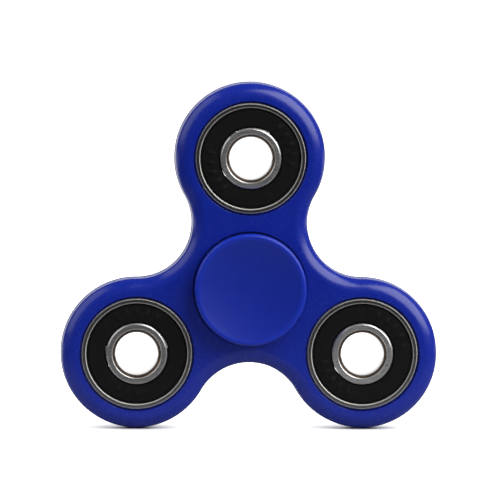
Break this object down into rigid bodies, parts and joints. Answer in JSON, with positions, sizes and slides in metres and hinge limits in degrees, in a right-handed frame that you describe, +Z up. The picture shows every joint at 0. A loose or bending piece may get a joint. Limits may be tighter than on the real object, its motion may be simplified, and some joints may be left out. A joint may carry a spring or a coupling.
{
  "type": "fidget spinner",
  "caption": "Three-lobed hand spinner: moulded plastic body turning on a capped centre ball bearing, with an open sealed ball bearing in each lobe.",
  "frame": {"origin": "centre of the middle bearing, on the spin axis and the body's middle plane", "axes": "+Z up as the spinner stands on two lobes, with one lobe straight up; spin axis along Y; the front face looks along -Y; +X to the right seen from the front"},
  "size_m": [0.0752, 0.0148, 0.0692],
  "materials": {
    "body_plastic": "satin moulded",
    "cap_plastic": "satin moulded",
    "bearing_steel": "ground",
    "ball_steel": "polished",
    "cage_steel": "pressed",
    "seal_rubber": "matte"
  },
  "bodies": {
    "frame": {"body": "body_plastic", "centre_outer_ring": "bearing_steel", "centre_front_seal": "seal_rubber", "centre_rear_seal": "seal_rubber", "top_outer_ring": "bearing_steel", "top_front_seal": "seal_rubber", "top_rear_seal": "seal_rubber", "left_outer_ring": "bearing_steel", "left_front_seal": "seal_rubber", "left_rear_seal": "seal_rubber", "right_outer_ring": "bearing_steel", "right_front_seal": "seal_rubber", "right_rear_seal": "seal_rubber"},
    "hub": {"front_cap": "cap_plastic", "rear_cap": "cap_plastic", "centre_inner_ring": "bearing_steel"},
    "centre_cage": {"centre_front_cage": "cage_steel", "centre_rear_cage": "cage_steel", "centre_cage_rivets": "cage_steel"},
    "centre_ball_1": {"centre_ball_1": "ball_steel"},
    "centre_ball_2": {"centre_ball_2": "ball_steel"},
    "centre_ball_3": {"centre_ball_3": "ball_steel"},
    "centre_ball_4": {"centre_ball_4": "ball_steel"},
    "centre_ball_5": {"centre_ball_5": "ball_steel"},
    "centre_ball_6": {"centre_ball_6": "ball_steel"},
    "centre_ball_7": {"centre_ball_7": "ball_steel"},
    "top_ring": {"top_inner_ring": "bearing_steel"},
    "top_cage": {"top_front_cage": "cage_steel", "top_rear_cage": "cage_steel", "top_cage_rivets": "cage_steel"},
    "top_ball_1": {"top_ball_1": "ball_steel"},
    "top_ball_2": {"top_ball_2": "ball_steel"},
    "top_ball_3": {"top_ball_3": "ball_steel"},
    "top_ball_4": {"top_ball_4": "ball_steel"},
    "top_ball_5": {"top_ball_5": "ball_steel"},
    "top_ball_6": {"top_ball_6": "ball_steel"},
    "top_ball_7": {"top_ball_7": "ball_steel"},
    "left_ring": {"left_inner_ring": "bearing_steel"},
    "left_cage": {"left_front_cage": "cage_steel", "left_rear_cage": "cage_steel", "left_cage_rivets": "cage_steel"},
    "left_ball_1": {"left_ball_1": "ball_steel"},
    "left_ball_2": {"left_ball_2": "ball_steel"},
    "left_ball_3": {"left_ball_3": "ball_steel"},
    "left_ball_4": {"left_ball_4": "ball_steel"},
    "left_ball_5": {"left_ball_5": "ball_steel"},
    "left_ball_6": {"left_ball_6": "ball_steel"},
    "left_ball_7": {"left_ball_7": "ball_steel"},
    "right_ring": {"right_inner_ring": "bearing_steel"},
    "right_cage": {"right_front_cage": "cage_steel", "right_rear_cage": "cage_steel", "right_cage_rivets": "cage_steel"},
    "right_ball_1": {"right_ball_1": "ball_steel"},
    "right_ball_2": {"right_ball_2": "ball_steel"},
    "right_ball_3": {"right_ball_3": "ball_steel"},
    "right_ball_4": {"right_ball_4": "ball_steel"},
    "right_ball_5": {"right_ball_5": "ball_steel"},
    "right_ball_6": {"right_ball_6": "ball_steel"},
    "right_ball_7": {"right_ball_7": "ball_steel"}
  },
  "joints": [
    {"name": "hub_spin", "type": "hinge", "parent": "frame", "child": "hub", "pos_m": [0, 0, 0], "axis": [0, -1, 0], "continuous": true},
    {"name": "centre_cage_spin", "type": "hinge", "parent": "frame", "child": "centre_cage", "pos_m": [0, 0, 0], "axis": [0, -1, 0], "continuous": true},
    {"name": "centre_ball_1_roll", "type": "hinge", "parent": "centre_cage", "child": "centre_ball_1", "pos_m": [0, 0, 0.0075], "axis": [0, -1, 0], "continuous": true},
    {"name": "centre_ball_2_roll", "type": "hinge", "parent": "centre_cage", "child": "centre_ball_2", "pos_m": [-0.00586, 0, 0.00468], "axis": [0, -1, 0], "continuous": true},
    {"name": "centre_ball_3_roll", "type": "hinge", "parent": "centre_cage", "child": "centre_ball_3", "pos_m": [-0.00731, 0, -0.00167], "axis": [0, -1, 0], "continuous": true},
    {"name": "centre_ball_4_roll", "type": "hinge", "parent": "centre_cage", "child": "centre_ball_4", "pos_m": [-0.00325, 0, -0.00676], "axis": [0, -1, 0], "continuous": true},
    {"name": "centre_ball_5_roll", "type": "hinge", "parent": "centre_cage", "child": "centre_ball_5", "pos_m": [0.00325, 0, -0.00676], "axis": [0, -1, 0], "continuous": true},
    {"name": "centre_ball_6_roll", "type": "hinge", "parent": "centre_cage", "child": "centre_ball_6", "pos_m": [0.00731, 0, -0.00167], "axis": [0, -1, 0], "continuous": true},
    {"name": "centre_ball_7_roll", "type": "hinge", "parent": "centre_cage", "child": "centre_ball_7", "pos_m": [0.00586, 0, 0.00468], "axis": [0, -1, 0], "continuous": true},
    {"name": "top_ring_spin", "type": "hinge", "parent": "frame", "child": "top_ring", "pos_m": [0, 0, 0.026], "axis": [0, -1, 0], "continuous": true},
    {"name": "top_cage_spin", "type": "hinge", "parent": "frame", "child": "top_cage", "pos_m": [0, 0, 0.026], "axis": [0, -1, 0], "continuous": true},
    {"name": "top_ball_1_roll", "type": "hinge", "parent": "top_cage", "child": "top_ball_1", "pos_m": [0, 0, 0.0335], "axis": [0, -1, 0], "continuous": true},
    {"name": "top_ball_2_roll", "type": "hinge", "parent": "top_cage", "child": "top_ball_2", "pos_m": [-0.00586, 0, 0.03068], "axis": [0, -1, 0], "continuous": true},
    {"name": "top_ball_3_roll", "type": "hinge", "parent": "top_cage", "child": "top_ball_3", "pos_m": [-0.00731, 0, 0.02433], "axis": [0, -1, 0], "continuous": true},
    {"name": "top_ball_4_roll", "type": "hinge", "parent": "top_cage", "child": "top_ball_4", "pos_m": [-0.00325, 0, 0.01924], "axis": [0, -1, 0], "continuous": true},
    {"name": "top_ball_5_roll", "type": "hinge", "parent": "top_cage", "child": "top_ball_5", "pos_m": [0.00325, 0, 0.01924], "axis": [0, -1, 0], "continuous": true},
    {"name": "top_ball_6_roll", "type": "hinge", "parent": "top_cage", "child": "top_ball_6", "pos_m": [0.00731, 0, 0.02433], "axis": [0, -1, 0], "continuous": true},
    {"name": "top_ball_7_roll", "type": "hinge", "parent": "top_cage", "child": "top_ball_7", "pos_m": [0.00586, 0, 0.03068], "axis": [0, -1, 0], "continuous": true},
    {"name": "left_ring_spin", "type": "hinge", "parent": "frame", "child": "left_ring", "pos_m": [-0.02252, 0, -0.013], "axis": [0, -1, 0], "continuous": true},
    {"name": "left_cage_spin", "type": "hinge", "parent": "frame", "child": "left_cage", "pos_m": [-0.02252, 0, -0.013], "axis": [0, -1, 0], "continuous": true},
    {"name": "left_ball_1_roll", "type": "hinge", "parent": "left_cage", "child": "left_ball_1", "pos_m": [-0.02252, 0, -0.0055], "axis": [0, -1, 0], "continuous": true},
    {"name": "left_ball_2_roll", "type": "hinge", "parent": "left_cage", "child": "left_ball_2", "pos_m": [-0.02838, 0, -0.00832], "axis": [0, -1, 0], "continuous": true},
    {"name": "left_ball_3_roll", "type": "hinge", "parent": "left_cage", "child": "left_ball_3", "pos_m": [-0.02983, 0, -0.01467], "axis": [0, -1, 0], "continuous": true},
    {"name": "left_ball_4_roll", "type": "hinge", "parent": "left_cage", "child": "left_ball_4", "pos_m": [-0.02577, 0, -0.01976], "axis": [0, -1, 0], "continuous": true},
    {"name": "left_ball_5_roll", "type": "hinge", "parent": "left_cage", "child": "left_ball_5", "pos_m": [-0.01926, 0, -0.01976], "axis": [0, -1, 0], "continuous": true},
    {"name": "left_ball_6_roll", "type": "hinge", "parent": "left_cage", "child": "left_ball_6", "pos_m": [-0.0152, 0, -0.01467], "axis": [0, -1, 0], "continuous": true},
    {"name": "left_ball_7_roll", "type": "hinge", "parent": "left_cage", "child": "left_ball_7", "pos_m": [-0.01665, 0, -0.00832], "axis": [0, -1, 0], "continuous": true},
    {"name": "right_ring_spin", "type": "hinge", "parent": "frame", "child": "right_ring", "pos_m": [0.02252, 0, -0.013], "axis": [0, -1, 0], "continuous": true},
    {"name": "right_cage_spin", "type": "hinge", "parent": "frame", "child": "right_cage", "pos_m": [0.02252, 0, -0.013], "axis": [0, -1, 0], "continuous": true},
    {"name": "right_ball_1_roll", "type": "hinge", "parent": "right_cage", "child": "right_ball_1", "pos_m": [0.02252, 0, -0.0055], "axis": [0, -1, 0], "continuous": true},
    {"name": "right_ball_2_roll", "type": "hinge", "parent": "right_cage", "child": "right_ball_2", "pos_m": [0.01665, 0, -0.00832], "axis": [0, -1, 0], "continuous": true},
    {"name": "right_ball_3_roll", "type": "hinge", "parent": "right_cage", "child": "right_ball_3", "pos_m": [0.0152, 0, -0.01467], "axis": [0, -1, 0], "continuous": true},
    {"name": "right_ball_4_roll", "type": "hinge", "parent": "right_cage", "child": "right_ball_4", "pos_m": [0.01926, 0, -0.01976], "axis": [0, -1, 0], "continuous": true},
    {"name": "right_ball_5_roll", "type": "hinge", "parent": "right_cage", "child": "right_ball_5", "pos_m": [0.02577, 0, -0.01976], "axis": [0, -1, 0], "continuous": true},
    {"name": "right_ball_6_roll", "type": "hinge", "parent": "right_cage", "child": "right_ball_6", "pos_m": [0.02983, 0, -0.01467], "axis": [0, -1, 0], "continuous": true},
    {"name": "right_ball_7_roll", "type": "hinge", "parent": "right_cage", "child": "right_ball_7", "pos_m": [0.02838, 0, -0.00832], "axis": [0, -1, 0], "continuous": true}
  ],
  "couplings": [
    {"joint": "centre_cage_spin", "follows": "hub_spin", "ratio": 0.3677},
    {"joint": "centre_ball_1_roll", "follows": "hub_spin", "ratio": -1.7573},
    {"joint": "centre_ball_2_roll", "follows": "hub_spin", "ratio": -1.7573},
    {"joint": "centre_ball_3_roll", "follows": "hub_spin", "ratio": -1.7573},
    {"joint": "centre_ball_4_roll", "follows": "hub_spin", "ratio": -1.7573},
    {"joint": "centre_ball_5_roll", "follows": "hub_spin", "ratio": -1.7573},
    {"joint": "centre_ball_6_roll", "follows": "hub_spin", "ratio": -1.7573},
    {"joint": "centre_ball_7_roll", "follows": "hub_spin", "ratio": -1.7573},
    {"joint": "top_cage_spin", "follows": "top_ring_spin", "ratio": 0.3677},
    {"joint": "top_ball_1_roll", "follows": "top_ring_spin", "ratio": -1.7573},
    {"joint": "top_ball_2_roll", "follows": "top_ring_spin", "ratio": -1.7573},
    {"joint": "top_ball_3_roll", "follows": "top_ring_spin", "ratio": -1.7573},
    {"joint": "top_ball_4_roll", "follows": "top_ring_spin", "ratio": -1.7573},
    {"joint": "top_ball_5_roll", "follows": "top_ring_spin", "ratio": -1.7573},
    {"joint": "top_ball_6_roll", "follows": "top_ring_spin", "ratio": -1.7573},
    {"joint": "top_ball_7_roll", "follows": "top_ring_spin", "ratio": -1.7573},
    {"joint": "left_cage_spin", "follows": "left_ring_spin", "ratio": 0.3677},
    {"joint": "left_ball_1_roll", "follows": "left_ring_spin", "ratio": -1.7573},
    {"joint": "left_ball_2_roll", "follows": "left_ring_spin", "ratio": -1.7573},
    {"joint": "left_ball_3_roll", "follows": "left_ring_spin", "ratio": -1.7573},
    {"joint": "left_ball_4_roll", "follows": "left_ring_spin", "ratio": -1.7573},
    {"joint": "left_ball_5_roll", "follows": "left_ring_spin", "ratio": -1.7573},
    {"joint": "left_ball_6_roll", "follows": "left_ring_spin", "ratio": -1.7573},
    {"joint": "left_ball_7_roll", "follows": "left_ring_spin", "ratio": -1.7573},
    {"joint": "right_cage_spin", "follows": "right_ring_spin", "ratio": 0.3677},
    {"joint": "right_ball_1_roll", "follows": "right_ring_spin", "ratio": -1.7573},
    {"joint": "right_ball_2_roll", "follows": "right_ring_spin", "ratio": -1.7573},
    {"joint": "right_ball_3_roll", "follows": "right_ring_spin", "ratio": -1.7573},
    {"joint": "right_ball_4_roll", "follows": "right_ring_spin", "ratio": -1.7573},
    {"joint": "right_ball_5_roll", "follows": "right_ring_spin", "ratio": -1.7573},
    {"joint": "right_ball_6_roll", "follows": "right_ring_spin", "ratio": -1.7573},
    {"joint": "right_ball_7_roll", "follows": "right_ring_spin", "ratio": -1.7573}
  ]
}
